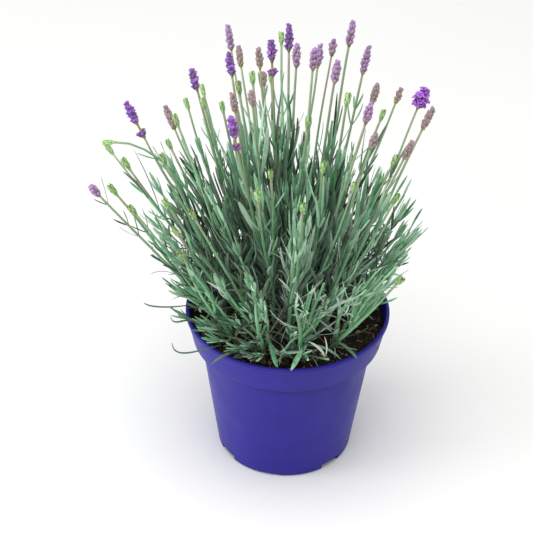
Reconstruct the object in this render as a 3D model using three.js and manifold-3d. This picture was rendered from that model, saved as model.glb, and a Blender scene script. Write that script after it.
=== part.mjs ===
// A potted lavender: a bushy young plant with flower spikes on long stalks, in a round plastic pot.
// Millimetres, +Z up, origin at the middle of the pot's flat underside. The side seen in front is -Y.
// The plant is a fan of leafy clumps. Each one stands in its own hole in the soil and keeps inside its
// own cone of the crown, so neighbours never touch. Every coloured flower spike is a piece of its own,
// with a socket that takes the tip of its stalk.
import * as THREE from "three";
import { mergeVertices } from "three/addons/utils/BufferGeometryUtils.js";
import Module from "manifold-3d";

const wasm = await Module();
wasm.setup();

// Pot
const POT_HEIGHT = 105;
const RIM_RADIUS = 65;
const LIP_HEIGHT = 2.5;
const LIP_REACH = 0.9;
const COLLAR_FOOT_Z = 84.5;
const COLLAR_FOOT_RADIUS = 60.4;
const BODY_TOP_RADIUS = 55.5;
const BASE_RADIUS = 43.8;
const BASE_CHAMFER = 1.2;
const BASE_THICKNESS = 1.8;
const WALL = 1.3;
const POT_SIDES = 36;
const NOTCH = { height: 4.2, width: 20, inner: 39.5 };
const NOTCHES_AT = [-57, 45, 123, -135];
const STEP = { height: 1.6, width: 16, inner: 41.6 };
const STEPS_AT = [-12, 80, 168, -102];

// Soil
const SOIL_TOP = 97;
const SOIL_GAP = 0.35;
const SOIL_RELIEF = 1.4;
const SOIL_RINGS = [50, 34, 18];

// Crown: rings of clumps, as seen from a point under the soil where their axes would meet
const APEX_DEPTH = 58;
const RINGS = [
  { count: 1, lean: 0, turn: 0 },
  { count: 5, lean: 12.5, turn: 20 },
  { count: 8, lean: 24, turn: 4 },
  { count: 12, lean: 36, turn: 11 },
];
const CLUMP_GAP = 0.35;
const SETTLING_ROUNDS = 12;

// Stems are square, and their radii here reach to the corners
const STUB = { below: 11, radius: 2.4, crown: 60, top: 1.35, shown: 4 };
const HOLE_GAP = 0.65;
const HOLE_RISE = 6;
const STEM = { foot: 1, top: 0.82 };
const FORKS = { lowest: 5, pitch: 6 };
const BENDS = { main: 0.4, fork: 0.68, margin: 1.6 };
const UPTURN = 0.3;

// Leaves
const LEAF = { width: 2.7, thickness: 0.8, root: 1.3, shortest: 15, smallest: 0.85, stray: 0.3 };
const CURVE = { bend: 0.48, straighten: 0.35, lift: 0.12 };
const SPREAD = { upper: 22, lower: 50, stray: 8, least: 10, lowReach: 60, lowShortening: 0.28 };
const TRIALS = { count: 7, narrower: 0.8, shorter: 0.92 };
const PAIRS = { first: 13, pitch: 31, stray: 8, leaf: 42 };
const LOW_PAIRS = { first: 6, pitch: 15, stray: 5, leaf: 31 };
const LEAFY_REACH = 118;
const BARE_STALK = 24;
const LAST_PAIR = 4;

// How far leaves keep from the soil, the rim, the spikes and each other
const CLEARANCE = { soil: 1.6, inRim: 5, overRim: 2, spike: 2, leaf: 2.2 };
const RIM_CLEARANCE = 5.5;
const CROWD_STEPS = 60;

// The bush's leaves end on a dome round the crown, lower at its foot and nearer on its right
const BUSH = { top: 127, foot: 70, topLean: 36, footLean: 84, lopsided: 0.09 };
const EASE = { leafy: 1.03, stalk: 1.1 };
const TERMINAL_LEAF = 15;
const TERMINAL_MARGIN = 4;

// A clump with fewer stems than it needs gets leafy ones, which lean a little more than it does
const LEAFY_STEMS = { least: 2, lean: 1.15, swing: 15, share: 0.86, stray: 0.14 };

// Extra low stems of every outer clump, down to the ones that lie out over the rim
const LOW_STEMS = [
  { lean: 50, swing: 8, share: 0.88 },
  { lean: 60, swing: -9, share: 0.88 },
  { lean: 70, swing: 3, share: 0.86 },
];
const LOW_STRAY = { lean: 3, share: 0.14 };

// The side, as a compass angle from +X, where the soil shows: its clumps have just the first low stem
const OPEN_SIDE = { turn: -22, width: 60 };

// Flower spikes: the middle of each one, its length and its kind
const KINDS = {
  violet: { radius: 3, whorls: 4, flare: 0.25, colour: 0x8a55a8 },
  mauve: { radius: 2.75, whorls: 4, flare: 0.2, colour: 0xa883ae },
  tan: { radius: 2.5, whorls: 3, flare: 0.18, colour: 0xa1948c },
  open: { radius: 4.5, whorls: 3, flare: 0.3, colour: 0x7f4fa3 },
};
const SPIKES = [
  { at: [-40, 62, 245], length: 14.5, kind: "violet" },
  { at: [-61, 40, 246], length: 13.5, kind: "violet" },
  { at: [-97, 12, 237], length: 14.5, kind: "violet", whorlBelow: 10.5 },
  { at: [-34, -40, 260], length: 15.5, kind: "violet", whorlBelow: 10.5 },
  { at: [-14, 30, 272], length: 13, kind: "violet", whorlBelow: 10 },
  { at: [-4, 78, 256], length: 16, kind: "violet" },
  { at: [72, 34, 243], length: 12, kind: "open" },
  { at: [-42, 96, 246], length: 16, kind: "mauve" },
  { at: [1, 50, 259], length: 14.5, kind: "mauve" },
  { at: [11, 18, 274], length: 13.5, kind: "mauve" },
  { at: [16, 104, 230], length: 14.5, kind: "mauve" },
  { at: [24, 82, 248], length: 10, kind: "mauve" },
  { at: [33, 66, 267], length: 16, kind: "mauve" },
  { at: [27, 0, 276], length: 14.5, kind: "mauve" },
  { at: [45, 86, 238], length: 18, kind: "mauve" },
  { at: [44, -14, 258], length: 13.5, kind: "mauve" },
  { at: [-118, -14, 198], length: 8.5, kind: "mauve" },
  { at: [-36, 112, 224], length: 13, kind: "tan" },
  { at: [-78, 60, 207], length: 15.5, kind: "tan" },
  { at: [-35, -6, 257], length: 12, kind: "tan" },
  { at: [-22, 60, 251], length: 12, kind: "tan" },
  { at: [-20, 110, 209], length: 8.5, kind: "tan" },
  { at: [-24, -20, 268], length: 10, kind: "tan" },
  { at: [49, 30, 245], length: 13, kind: "tan" },
  { at: [46, -42, 255], length: 12, kind: "tan" },
  { at: [67, 78, 217], length: 9.5, kind: "tan" },
  { at: [79, -6, 250], length: 15.5, kind: "tan" },
  { at: [68, -24, 240], length: 13, kind: "tan" },
];
const SPIKE_SIDES = 6;
const SPIKE_FOOT = 2.1;
const SWELL = { from: 0.2, over: 0.66, fullness: 0.7 };
const TUCK = 0.6;
const BULGE_AT = 0.5;
const WAIST = { at: 0.95, size: 0.7 };
const LOWER_WHORL = { height: 2.6, top: 5, neck: 0.45 };
const SOCKET_DEPTH = 2.4;
const SOCKET_GAP = 0.3;

// Green buds, fused to their stalks
const BUD = {
  radius: 1.9,
  length: 10,
  profile: [[0, 0.9], [2.4, 1.85], [6, 1.8], [8.4, 1.05]],
};
const BUDS = [
  [-59, 90, 211], [-54, 14, 245], [-69, 84, 204], [-69, -6, 244], [-43, 20, 239], [-25, 20, 259],
  [-15, 90, 222], [-9, 104, 242], [32, 14, 249], [56, 56, 216], [61, -10, 223], [62, -30, 209],
  [65, -66, 175], [-12, -44, 232], [18, -40, 235], [7, -60, 220], [-19, -58, 226], [36, -52, 231],
  [9, -4, 243], [-78, 34, 203], [-76, -20, 226], [-115, 40, 195], [-104, 4, 217], [-99, -10, 215],
  [-105, -30, 209], [-92, -44, 204], [-73, -34, 203], [-56, -60, 213], [-66, -56, 198],
  [-62, -68, 190], [-33, 40, 241],
];

const SMALLEST_EDGE = 0.02;
const UP = new THREE.Vector3(0, 0, 1);
const APEX = new THREE.Vector3(0, 0, SOIL_TOP - APEX_DEPTH);
const CROWN = new THREE.Vector3(0, 0, SOIL_TOP);
const radians = THREE.MathUtils.degToRad;

// A draw between 0 and 1, always the same for the same numbers.
function draw(a, b = 0, c = 0) {
  const wave = Math.sin(a * 12.9898 + b * 78.233 + c * 37.719) * 43758.5453;
  return wave - Math.floor(wave);
}

function vector([x, y, z]) {
  return new THREE.Vector3(x, y, z);
}

// The direction that leans from upright by one angle, towards the compass angle measured from +X.
function leaning(lean, turn) {
  const flat = Math.sin(radians(lean));
  return new THREE.Vector3(
    flat * Math.cos(radians(turn)),
    flat * Math.sin(radians(turn)),
    Math.cos(radians(lean)),
  );
}

// Solids and meshes

// The geometry with its shared corners merged, which closes its surface.
function closed(geometry) {
  const bare = geometry.clone();
  bare.deleteAttribute("normal");
  bare.deleteAttribute("uv");
  return mergeVertices(bare, 1e-4);
}

function solid(geometry) {
  return new wasm.Manifold(
    new wasm.Mesh({
      numProp: 3,
      vertProperties: geometry.attributes.position.array,
      triVerts: new Uint32Array(geometry.index.array),
    }),
  );
}

function named(name, body, colour, roughness) {
  const { numProp, numVert, vertProperties, triVerts } = body.getMesh();
  const points = new Float32Array(numVert * 3);
  for (let i = 0; i < numVert; i++) {
    points.set(vertProperties.subarray(i * numProp, i * numProp + 3), i * 3);
  }
  const geometry = new THREE.BufferGeometry();
  geometry.setAttribute("position", new THREE.BufferAttribute(points, 3));
  geometry.setIndex(new THREE.BufferAttribute(new Uint32Array(triVerts), 1));
  geometry.computeVertexNormals();
  const material = new THREE.MeshStandardMaterial({ color: colour, roughness, metalness: 0 });
  const mesh = new THREE.Mesh(geometry, material);
  mesh.name = name;
  return mesh;
}

// Any direction square to the one given.
function across(way) {
  const guide = Math.abs(way.z) < 0.9 ? UP : new THREE.Vector3(0, 1, 0);
  return guide.clone().cross(way).normalize();
}

// The place and the three directions of a cross-section: along, and two square to it.
function frameAt(point, forward, facing) {
  const side = facing.clone().cross(forward).normalize();
  const under = side.clone().cross(forward);
  return { point, forward, side, under };
}

// A closed skin of triangles, built ring by ring. Rings of corners run anticlockwise seen from ahead.
class Skin {
  corners = [];
  faces = [];

  corner(place) {
    this.corners.push(place);
    return this.corners.length - 1;
  }

  ring({ point, side, under }, radius, sides = 4) {
    return Array.from({ length: sides }, (_, i) => {
      const angle = (2 * Math.PI * (i + 0.5)) / sides;
      const out = typeof radius === "function" ? radius(i) : radius;
      const place = point.clone().addScaledVector(under, out * Math.cos(angle));
      return this.corner(place.addScaledVector(side, out * Math.sin(angle)));
    });
  }

  side(lower, upper, i) {
    const next = (i + 1) % lower.length;
    return [lower[i], lower[next], upper[next], upper[i]];
  }

  quad([a, b, c, d]) {
    this.faces.push(a, b, c, a, c, d);
  }

  // The sides between two rings, but for those left open.
  join(lower, upper, open = []) {
    lower.forEach((_, i) => {
      if (!open.includes(i)) this.quad(this.side(lower, upper, i));
    });
  }

  // The end of the skin, drawn to one corner ahead of the ring or closed flat behind it.
  tip(ring, place) {
    const point = this.corner(place);
    ring.forEach((corner, i) => this.faces.push(corner, ring[(i + 1) % ring.length], point));
  }

  foot(ring) {
    for (let i = 2; i < ring.length; i++) this.faces.push(ring[0], ring[i], ring[i - 1]);
  }

  top(ring) {
    for (let i = 2; i < ring.length; i++) this.faces.push(ring[0], ring[i - 1], ring[i]);
  }

  toSolid() {
    const geometry = new THREE.BufferGeometry().setFromPoints(this.corners);
    geometry.setIndex(this.faces);
    return solid(geometry);
  }
}

// The shapes joined into one body. A hollow that they seal is filled, and a loose scrap is dropped.
function fused(parts) {
  const bodies = wasm.Manifold.union(parts).simplify(SMALLEST_EDGE).decompose();
  return bodies.reduce((best, body) => (body.volume() > best.volume() ? body : best));
}

// Pot

function lathe(outline) {
  const profile = outline.map(([r, z]) => new THREE.Vector2(r, z));
  const turned = closed(new THREE.LatheGeometry(profile, POT_SIDES));
  return turned.rotateX(Math.PI / 2);
}

// The collar's inner face leans out like its outer one.
function collarInside(z) {
  const share = (z - COLLAR_FOOT_Z) / (POT_HEIGHT - COLLAR_FOOT_Z);
  return COLLAR_FOOT_RADIUS - WALL + share * (RIM_RADIUS - LIP_REACH - COLLAR_FOOT_RADIUS);
}

function potOutline() {
  const lipFoot = POT_HEIGHT - LIP_HEIGHT;
  return [
    [0, 0],
    [BASE_RADIUS - BASE_CHAMFER, 0],
    [BASE_RADIUS, BASE_CHAMFER],
    [BODY_TOP_RADIUS, COLLAR_FOOT_Z],
    [COLLAR_FOOT_RADIUS, COLLAR_FOOT_Z],
    [RIM_RADIUS - LIP_REACH, lipFoot - LIP_REACH],
    [RIM_RADIUS, lipFoot],
    [RIM_RADIUS, POT_HEIGHT],
    [collarInside(POT_HEIGHT), POT_HEIGHT],
    [collarInside(COLLAR_FOOT_Z + WALL), COLLAR_FOOT_Z + WALL],
    [BODY_TOP_RADIUS - WALL, COLLAR_FOOT_Z + WALL],
    [BASE_RADIUS - WALL, BASE_THICKNESS],
    [0, BASE_THICKNESS],
  ];
}

// A wedge of a ring round the foot of the wall, centred on an angle measured from the front.
function footCut({ height, width, inner }, angle) {
  const outer = BASE_RADIUS + 6;
  const middle = radians(angle - 90);
  const half = radians(width / 2);
  const outline = new THREE.Shape();
  outline.absarc(0, 0, outer, middle - half, middle + half, false);
  outline.absarc(0, 0, inner, middle + half, middle - half, true);
  outline.closePath();
  const block = new THREE.ExtrudeGeometry(outline, {
    depth: height + 1,
    bevelEnabled: false,
    curveSegments: 3,
  });
  return solid(closed(block.translate(0, 0, -1)));
}

function pot() {
  const deep = NOTCHES_AT.map((angle) => footCut(NOTCH, angle));
  const shallow = STEPS_AT.map((angle) => footCut(STEP, angle));
  return solid(lathe(potOutline())).subtract(wasm.Manifold.union([...deep, ...shallow]));
}

// Soil

function soilOutline() {
  const shoulder = COLLAR_FOOT_Z + WALL + SOIL_GAP;
  return [
    [0, BASE_THICKNESS + SOIL_GAP],
    [BASE_RADIUS - WALL - SOIL_GAP, BASE_THICKNESS + SOIL_GAP],
    [BODY_TOP_RADIUS - WALL - SOIL_GAP, shoulder],
    [collarInside(shoulder) - SOIL_GAP, shoulder],
    [collarInside(SOIL_TOP) - SOIL_GAP, SOIL_TOP - SOIL_RELIEF],
    ...SOIL_RINGS.map((radius) => [radius, SOIL_TOP]),
    [0, SOIL_TOP],
  ];
}

// The top of the peat is lumpy.
function soil(holes) {
  const body = lathe(soilOutline());
  const corners = body.attributes.position;
  for (let i = 0; i < corners.count; i++) {
    if (corners.getZ(i) > SOIL_TOP - 0.5) {
      const lump = draw(Math.round(corners.getX(i)), Math.round(corners.getY(i))) - 0.5;
      corners.setZ(i, SOIL_TOP + lump * 2 * SOIL_RELIEF);
    }
  }
  return solid(body).subtract(wasm.Manifold.union(holes));
}

// Clumps: each has its axis, and keeps inside the cone nearer to that axis than to any other

const clumps = RINGS.flatMap(({ count, lean, turn }, ring) =>
  Array.from({ length: count }, (_, i) => {
    const way = leaning(lean, turn + (360 / count) * i);
    const foot = APEX.clone().addScaledVector(way, APEX_DEPTH / way.z);
    return { ring, way, foot, buried: STUB.below / way.z, stems: [], spikes: [] };
  }),
);
clumps.forEach((clump, number) => {
  clump.number = number + 1;
  clump.walls = clumps
    .filter((other) => other !== clump)
    .map((other) => clump.way.clone().sub(other.way).normalize());
});

// How far inside its clump's cone a point is; less than nothing outside it.
function room(clump, point) {
  const reach = point.clone().sub(APEX);
  return Math.min(...clump.walls.map((wall) => reach.dot(wall)));
}

// The point, moved square to each wall of the cone that it is too close to.
function settled(clump, point, margin) {
  const place = point.clone();
  for (let round = 0; round < SETTLING_ROUNDS; round++) {
    for (const wall of clump.walls) {
      const short = margin - place.clone().sub(APEX).dot(wall);
      if (short > 0) place.addScaledVector(wall, short + 0.01);
    }
  }
  return place;
}

function clumpAt(point) {
  const reach = point.clone().sub(APEX);
  return clumps.reduce((best, clump) =>
    reach.dot(clump.way) > reach.dot(best.way) ? clump : best,
  );
}

// A stalk's head follows the line from the crown, turned up a little.
function poise(point) {
  return point.clone().sub(CROWN).normalize().lerp(UP, UPTURN).normalize();
}

function stubPoint(clump, height) {
  return clump.foot.clone().addScaledVector(clump.way, height);
}

// The two ends of a head of a given length and girth, both inside its clump's cone.
function headSpan(clump, middle, length, girth) {
  const way = poise(middle);
  const margin = girth + CLUMP_GAP;
  const foot = settled(clump, middle.clone().addScaledVector(way, -length / 2), margin);
  const tip = settled(clump, middle.clone().addScaledVector(way, length / 2), margin);
  return { foot, tip, way: tip.clone().sub(foot).normalize() };
}

for (const spike of SPIKES) {
  const kind = KINDS[spike.kind];
  const girth = kind.radius * (1 + kind.flare);
  const clump = clumpAt(vector(spike.at));
  const below = spike.whorlBelow ?? 0;
  const middle = vector(spike.at).addScaledVector(poise(vector(spike.at)), -below / 2);
  const span = headSpan(clump, middle, spike.length + below, girth);
  clump.spikes.push({ ...spike, ...kind, ...span, girth });
  clump.stems.push({ end: span.foot, way: span.way, bare: BARE_STALK, ends: "socket", growth: PAIRS });
}

for (const place of BUDS) {
  const clump = clumpAt(vector(place));
  const span = headSpan(clump, vector(place), BUD.length, BUD.radius);
  clump.stems.push({ end: span.foot, way: span.way, bare: BARE_STALK, ends: "bud", growth: PAIRS });
}

// Leafy stems with no head fill each cone out to a share of the bush's reach.
function addLeafyStem(clump, lean, turn, share, growth = PAIRS) {
  const way = leaning(lean, turn);
  const edge = bushReach(CROWN.clone().add(way));
  const tip = CROWN.clone().addScaledVector(way, edge * share - TERMINAL_LEAF);
  tip.z = Math.max(tip.z, POT_HEIGHT + RIM_CLEARANCE);
  const end = settled(clump, tip, TERMINAL_MARGIN);
  clump.stems.push({ end, way: poise(end), bare: 0, ends: "leaf", growth });
}

function bearing(way) {
  return THREE.MathUtils.radToDeg(Math.atan2(way.y, way.x));
}

function besideOpenSide(turn) {
  const apart = THREE.MathUtils.euclideanModulo(turn - OPEN_SIDE.turn + 180, 360) - 180;
  return Math.abs(apart) < OPEN_SIDE.width / 2;
}

// A draw from one number below nothing to the same number above it.
function either(most, ...seed) {
  return most * (2 * draw(...seed) - 1);
}

for (const clump of clumps) {
  const { number } = clump;
  const turn = bearing(clump.way);
  const outer = clump.ring === RINGS.length - 1;
  const lean = RINGS[clump.ring].lean * LEAFY_STEMS.lean;
  for (let i = clump.stems.length; i < LEAFY_STEMS.least; i++) {
    const edge = LEAFY_STEMS.share + LEAFY_STEMS.stray * draw(number, i, 2);
    addLeafyStem(clump, lean, turn + either(LEAFY_STEMS.swing, number, i, 1), edge);
  }
  const low = outer ? LOW_STEMS.slice(0, besideOpenSide(turn) ? 1 : LOW_STEMS.length) : [];
  low.forEach(({ lean, swing, share }, i) => {
    const tilt = either(LOW_STRAY.lean, number, i, 4);
    const edge = share + LOW_STRAY.share * draw(number, i, 5);
    addLeafyStem(clump, lean + tilt, turn + swing, edge, LOW_PAIRS);
  });
}

// The straightest stem of a clump grows on from its stub. The others fork from it, the widest lowest.
for (const clump of clumps) {
  const straightness = ({ end, growth }) =>
    growth === LOW_PAIRS ? -1 : end.clone().sub(clump.foot).normalize().dot(clump.way);
  clump.stems.sort((a, b) => straightness(a) - straightness(b));
  const main = clump.stems.at(-1);
  const start = stubPoint(clump, -clump.buried);
  const bend = stubPoint(clump, BENDS.main * clump.foot.distanceTo(main.end));
  main.curve = new THREE.QuadraticBezierCurve3(start, bend, main.end);
  main.main = true;
  clump.stems.slice(0, -1).forEach((shoot, i) => {
    const height = clump.buried + FORKS.lowest + FORKS.pitch * i;
    const fork = main.curve.getPointAt(height / main.curve.getLength());
    const pull = fork.distanceTo(shoot.end) * BENDS.fork;
    const bend = shoot.end.clone().addScaledVector(shoot.way, -pull);
    const curve = [fork, settled(clump, bend, BENDS.margin), shoot.end];
    shoot.curve = new THREE.QuadraticBezierCurve3(...curve);
  });
}

// Leaves

// How far the bush reaches from the crown in the direction of a point.
function bushReach(point) {
  const way = point.clone().sub(CROWN).normalize();
  const lean = THREE.MathUtils.radToDeg(way.angleTo(UP));
  const share = THREE.MathUtils.smoothstep(lean, BUSH.topLean, BUSH.footLean);
  const dome = BUSH.top + share * (BUSH.foot - BUSH.top);
  return dome * (1 - BUSH.lopsided * (Math.sin(radians(lean)) + way.x));
}

function insideBush(point, shoot) {
  const ease = shoot.ends === "leaf" ? EASE.leafy : EASE.stalk;
  return point.distanceTo(CROWN) < bushReach(point) * ease;
}

// Leaves hang clear of the soil and the rim.
function clearOfPot(point) {
  const radius = Math.hypot(point.x, point.y);
  if (radius < RIM_RADIUS - CLEARANCE.inRim) {
    return point.z > SOIL_TOP + SOIL_RELIEF + CLEARANCE.soil;
  }
  return radius > RIM_RADIUS + CLEARANCE.overRim || point.z > POT_HEIGHT + CLEARANCE.overRim;
}

function clearOfSpikes(clump, point) {
  return clump.spikes.every(({ foot, tip, girth }) => {
    const nearest = new THREE.Line3(foot, tip).closestPointToPoint(point, true, new THREE.Vector3());
    return nearest.distanceTo(point) > girth + CLEARANCE.spike;
  });
}

// The crowd holds points along the stems and leaves that are already there.
function fits(clump, shoot, points) {
  const crowd = clump.crowd.filter((other) => other.stem !== shoot);
  return (
    points.every((point) => room(clump, point) > LEAF.width / 2 + CLUMP_GAP) &&
    points.every((point) => clearOfPot(point) && clearOfSpikes(clump, point)) &&
    points.every((point) => insideBush(point, shoot)) &&
    points.every((point) => crowd.every((other) => other.point.distanceTo(point) > CLEARANCE.leaf))
  );
}

// A leaf that leaves the stem the way its side faces, spread as far as it has room for, or no leaf.
function leaf(clump, shoot, frame, out, length, spread) {
  for (let trial = 0; trial < TRIALS.count; trial++) {
    const angle = radians(Math.max(SPREAD.least, spread * TRIALS.narrower ** trial));
    const reach = Math.max(LEAF.shortest, length * TRIALS.shorter ** trial);
    const leave = frame.forward.clone().multiplyScalar(Math.cos(angle));
    leave.addScaledVector(out, Math.sin(angle));
    const end = leave.clone().lerp(frame.forward, CURVE.straighten).lerp(UP, CURVE.lift).normalize();
    const middle = frame.point.clone().addScaledVector(leave, reach * CURVE.bend);
    const tip = middle.clone().addScaledVector(end, reach * (1 - CURVE.bend));
    const spots = [0.25, 0.5, 0.75, 1].map((t) => frame.point.clone().lerp(middle, t));
    spots.push(...[0.25, 0.5, 0.75, 1].map((t) => middle.clone().lerp(tip, t)));
    if (fits(clump, shoot, spots)) {
      spots.forEach((point) => clump.crowd.push({ point }));
      return { middle, tip, forward: leave.lerp(end, 0.5).normalize() };
    }
  }
  return null;
}

function stemFrame({ curve, way, facing }, distance) {
  const length = curve.getLength();
  const share = Math.min(1, distance / length);
  const forward = share < 1 ? curve.getTangentAt(share) : way.clone();
  const point = curve.getPointAt(share).addScaledVector(way, Math.max(0, distance - length));
  return frameAt(point, forward, facing);
}

// Opposite pairs up the stem, each pair a quarter turn from the last.
function pairsOn(clump, shoot, number) {
  const buried = shoot.main ? clump.buried : 0;
  const length = shoot.curve.getLength();
  const last = Math.min(length - shoot.bare - LAST_PAIR, LEAFY_REACH + buried);
  const seed = clump.number * 10 + number;
  const { first, pitch, stray, leaf: full } = shoot.growth;
  const pairs = [];
  for (let pair = 0; ; pair++) {
    const distance = buried + first + pair * pitch + stray * draw(seed, pair, 3);
    if (distance > last) break;
    const frame = stemFrame(shoot, distance);
    const low = Math.max(0, 1 - (distance - buried) / SPREAD.lowReach);
    const growth = LEAF.smallest + LEAF.stray * draw(seed, pair, 5);
    const size = full * (1 - SPREAD.lowShortening * low) * growth;
    const opening = SPREAD.upper + (SPREAD.lower - SPREAD.upper) * low;
    const spread = opening + SPREAD.stray * draw(seed, pair, 6);
    const leaves = [0, 2].map((turn) => {
      const face = (turn + pair) % 4;
      const out = face % 2 ? frame.under.clone() : frame.side.clone();
      if (face === 1 || face === 2) out.negate();
      return { face, out, blade: leaf(clump, shoot, frame, out, size, spread) };
    });
    const found = leaves.filter(({ blade }) => blade);
    if (found.length) pairs.push({ distance, leaves: found });
  }
  return pairs;
}

// The blade is drawn out of one side of the stem: a flat middle and a point.
function addLeaf(skin, root, { out, blade }, stemWay) {
  const across = out.clone().cross(stemWay).normalize().negate();
  const thick = blade.forward.clone().cross(across).normalize();
  const middle = [[-1, -1], [1, -1], [1, 1], [-1, 1]].map(([x, y]) => {
    const place = blade.middle.clone().addScaledVector(across, (x * LEAF.width) / 2);
    return skin.corner(place.addScaledVector(thick, (y * LEAF.thickness) / 2));
  });
  skin.join(root, middle);
  skin.tip(middle, blade.tip);
}

// The stem's radius at a distance from its start.
function stemRadius({ main, curve }, distance) {
  const share = Math.min(1, distance / curve.getLength());
  if (!main) return STEM.foot + share * (STEM.top - STEM.foot);
  const crown = Math.min(1, distance / STUB.crown);
  if (crown < 1) return STUB.radius + crown * (STUB.top - STUB.radius);
  return STUB.top + share * (STEM.top - STUB.top);
}

function stemSolid(clump, shoot, number) {
  const skin = new Skin();
  const length = shoot.curve.getLength();
  const level = (distance, radius = stemRadius(shoot, distance)) =>
    skin.ring(stemFrame(shoot, distance), radius);
  let last = level(0);
  skin.foot(last);
  const grow = (ring, open) => {
    skin.join(last, ring, open);
    last = ring;
  };
  if (shoot.main) grow(level(clump.buried + STUB.shown));
  for (const { distance, leaves } of shoot.pairs) {
    grow(level(distance - LEAF.root));
    const lower = last;
    const upper = level(distance + LEAF.root);
    grow(upper, leaves.map(({ face }) => face));
    const stemWay = stemFrame(shoot, distance).forward;
    leaves.forEach((found) => {
      addLeaf(skin, skin.side(lower, upper, found.face), found, stemWay);
    });
  }
  if (shoot.ends === "socket") {
    grow(level(length - 1));
    grow(level(length + SOCKET_DEPTH - SOCKET_GAP, STEM.top));
    skin.top(last);
  } else if (shoot.ends === "bud") {
    BUD.profile.forEach(([height, radius]) => grow(level(length + height, radius)));
    skin.tip(last, stemFrame(shoot, length + BUD.length).point);
  } else {
    grow(level(length));
    skin.tip(last, stemFrame(shoot, length + TERMINAL_LEAF).point);
  }
  return skin.toSolid();
}

function clumpSolid(clump) {
  clump.crowd = clump.stems.flatMap((shoot) =>
    shoot.curve.getSpacedPoints(CROWD_STEPS).map((point) => ({ stem: shoot, point })),
  );
  clump.stems.forEach((shoot, number) => {
    const twist = radians(360 * draw(clump.number, number, 8));
    const middle = shoot.curve.getTangent(0.5);
    shoot.facing = across(middle).applyAxisAngle(middle, twist);
    shoot.pairs = pairsOn(clump, shoot, number);
  });
  return fused(clump.stems.map((shoot, number) => stemSolid(clump, shoot, number)));
}

// A square peg from one point to another.
function peg(from, to, radius, facing) {
  const way = to.clone().sub(from).normalize();
  const skin = new Skin();
  const foot = skin.ring(frameAt(from, way, facing), radius);
  const head = skin.ring(frameAt(to, way, facing), radius);
  skin.foot(foot);
  skin.join(foot, head);
  skin.top(head);
  return skin.toSolid();
}

// The hole that a clump's stub stands in.
function stubHole(clump) {
  const main = clump.stems.at(-1);
  const from = stubPoint(clump, -clump.buried - HOLE_GAP);
  return peg(from, stubPoint(clump, HOLE_RISE), STUB.radius + HOLE_GAP, main.facing);
}

// The flower spikes: whorls of florets that stand out by turns

// The radius of each ring up the spike: a narrow foot, then a bulge and a waist for every whorl.
function spikeRings({ radius, whorls, flare }) {
  const rings = [{ share: 0, out: () => SPIKE_FOOT }];
  for (let whorl = 0; whorl < whorls; whorl++) {
    const swell = (share) =>
      radius * Math.sin(Math.PI * (SWELL.from + SWELL.over * share)) ** SWELL.fullness;
    const bulge = (whorl + BULGE_AT) / whorls;
    const waist = (whorl + WAIST.at) / whorls;
    const floret = (i) => 1 + flare * ((i + whorl) % 2 ? 1 : -TUCK);
    rings.push({ share: bulge, out: (i) => swell(bulge) * floret(i) });
    rings.push({ share: waist, out: () => swell(waist) * WAIST.size });
  }
  return rings;
}

function spikeSolid({ foot, tip, way, length, whorlBelow = 0, ...kind }) {
  const facing = across(way);
  const skin = new Skin();
  const level = (height, out) => {
    const point = foot.clone().addScaledVector(way, height);
    return skin.ring(frameAt(point, way, facing), out, SPIKE_SIDES);
  };
  let last = level(0, SPIKE_FOOT);
  skin.foot(last);
  const grow = (ring) => {
    skin.join(last, ring);
    last = ring;
  };
  if (whorlBelow) {
    const floret = (i) => kind.radius * (1 + kind.flare * (i % 2 ? 1 : -TUCK));
    grow(level(LOWER_WHORL.height, floret));
    grow(level(LOWER_WHORL.top, kind.radius * LOWER_WHORL.neck));
    grow(level(whorlBelow - 1, STEM.top));
  }
  spikeRings(kind).forEach(({ share, out }) => {
    if (share > 0 || whorlBelow) grow(level(whorlBelow + share * length, out));
  });
  skin.tip(last, tip);
  const hole = peg(
    foot.clone().addScaledVector(way, -1),
    foot.clone().addScaledVector(way, SOCKET_DEPTH),
    STEM.top + SOCKET_GAP * Math.SQRT2,
    facing,
  );
  return skin.toSolid().subtract(hole);
}

// The whole plant

const FOLIAGE = [0x66876a, 0x5f8466, 0x5a7c62, 0x567060];
const two = (number) => String(number).padStart(2, "0");

const pottedLavender = new THREE.Group();
pottedLavender.name = "potted_lavender";
pottedLavender.add(named("pot", pot(), 0x3c368c, 0.45));
const leafy = clumps.map(clumpSolid);
pottedLavender.add(named("soil", soil(clumps.map(stubHole)), 0x241d19, 0.95));

let headNumber = 0;
for (const clump of clumps) {
  const name = `leafy_clump_${two(clump.number)}`;
  pottedLavender.add(named(name, leafy[clump.number - 1], FOLIAGE[clump.ring], 0.7));
  for (const spike of clump.spikes) {
    headNumber += 1;
    const head = `flower_spike_${two(headNumber)}`;
    pottedLavender.add(named(head, spikeSolid(spike), spike.colour, 0.7));
  }
}

export default pottedLavender;
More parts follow.
